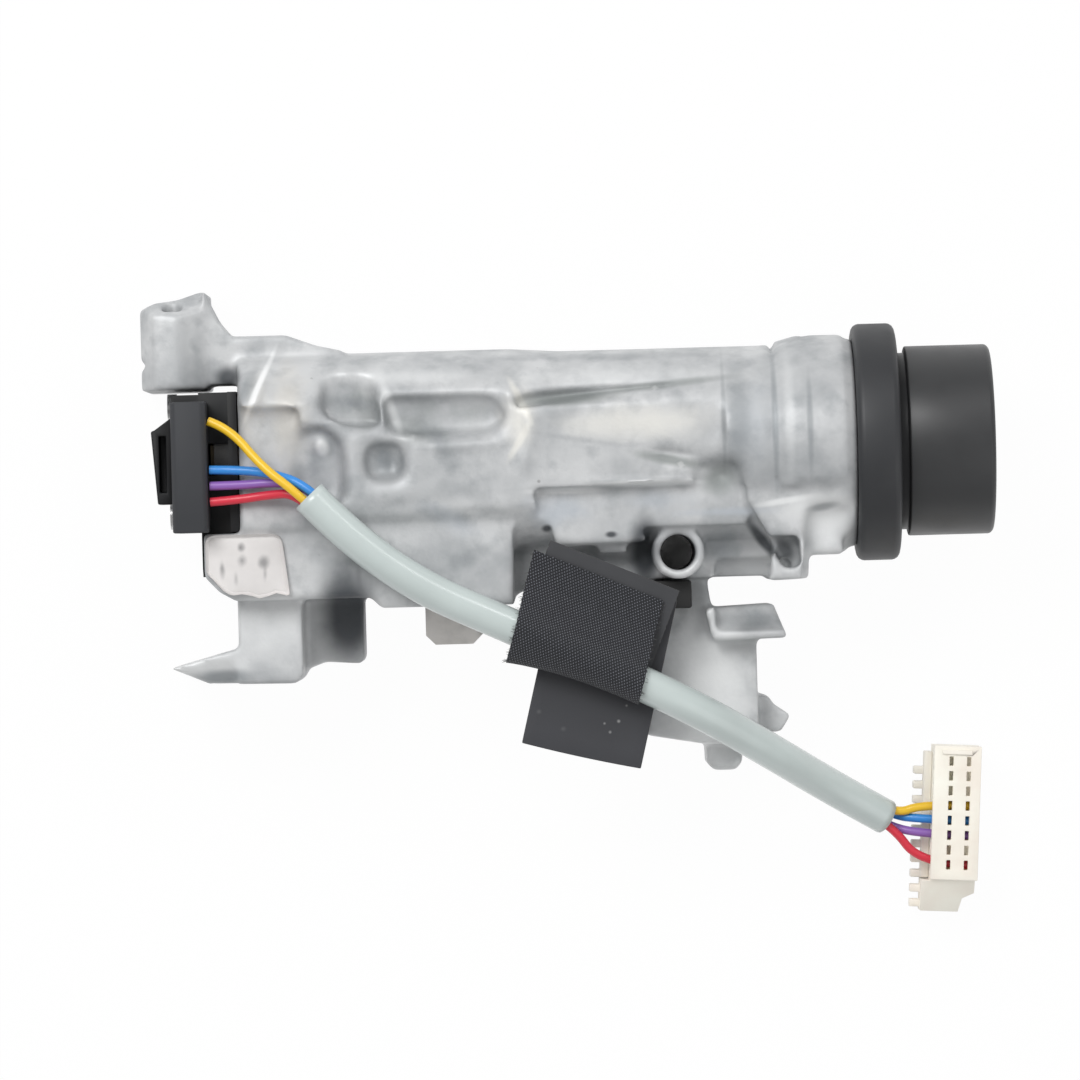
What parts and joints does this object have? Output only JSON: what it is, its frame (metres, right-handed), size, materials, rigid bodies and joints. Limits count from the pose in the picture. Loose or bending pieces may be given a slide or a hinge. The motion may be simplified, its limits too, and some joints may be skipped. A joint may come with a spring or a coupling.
{
  "type": "steering lock and ignition switch housing",
  "caption": "Die-cast steering column lock with a key barrel and reader ring, an ignition switch at the far end, column feet, and a short cable to a plug.",
  "frame": {"origin": "below the middle of the lock's bounding box without its cable, on the face it rests on", "axes": "+X along the barrel to the key end, +Y away from the steering column, +Z out of the front"},
  "size_m": [0.1438, 0.1096, 0.0417],
  "materials": {
    "cast_alloy": "as cast, matt with soft bright edges",
    "lock_alloy": "machined, satin",
    "black_plastic": "satin moulded",
    "hard_steel": "ground",
    "brass": "satin",
    "inner_plastic": "moulded",
    "rubber": "matt",
    "sticker": "paper film",
    "cable_grey": "smooth extruded",
    "wire_yellow": "extruded",
    "wire_blue": "extruded",
    "wire_purple": "extruded",
    "wire_red": "extruded",
    "woven_tape": "coarse weave",
    "foam": "smooth closed-cell foam",
    "cream_plastic": "satin moulded"
  },
  "bodies": {
    "housing": {"lock_housing": "cast_alloy", "coil_ring": "black_plastic", "key_sleeve": "black_plastic", "cylinder_body": "lock_alloy", "cylinder_pin": "hard_steel", "spindle_bush": "inner_plastic", "bolt_spring": "hard_steel", "bolt_cover": "cast_alloy", "cover_screws": "hard_steel", "switch_case": "black_plastic", "switch_cover": "black_plastic", "switch_contacts": "brass", "switch_screws": "hard_steel", "wire_plug": "black_plastic", "plug_lock": "black_plastic", "rubber_buffer": "rubber", "label": "sticker", "cable_sheath": "cable_grey", "cloth_tape": "woven_tape", "foam_pad": "foam", "end_connector": "cream_plastic", "connector_terminals": "brass", "connector_comb": "cream_plastic", "wire_yellow": "wire_yellow", "wire_blue": "wire_blue", "wire_purple": "wire_purple", "wire_red": "wire_red"},
    "rotor": {"key_plug": "brass", "plug_wafers": "brass", "drive_spindle": "hard_steel", "switch_rotor": "inner_plastic", "contact_bridge": "brass"},
    "bolt": {"lock_slide": "hard_steel", "lock_bolt": "hard_steel", "bolt_pin": "hard_steel"}
  },
  "joints": [
    {"name": "key_turn", "type": "hinge", "parent": "housing", "child": "rotor", "pos_m": [0.0681, 0.0133, 0.0201], "axis": [1, 0, 0], "range_deg": [0, 90]},
    {"name": "bolt_slide", "type": "slide", "parent": "housing", "child": "bolt", "axis": [0, 1, 0], "range_m": [0, 0.0065], "deforming": ["bolt_spring"]}
  ],
  "couplings": [
    {"joint": "bolt_slide", "follows": "key_turn", "m_per_rad": 0.004138}
  ]
}
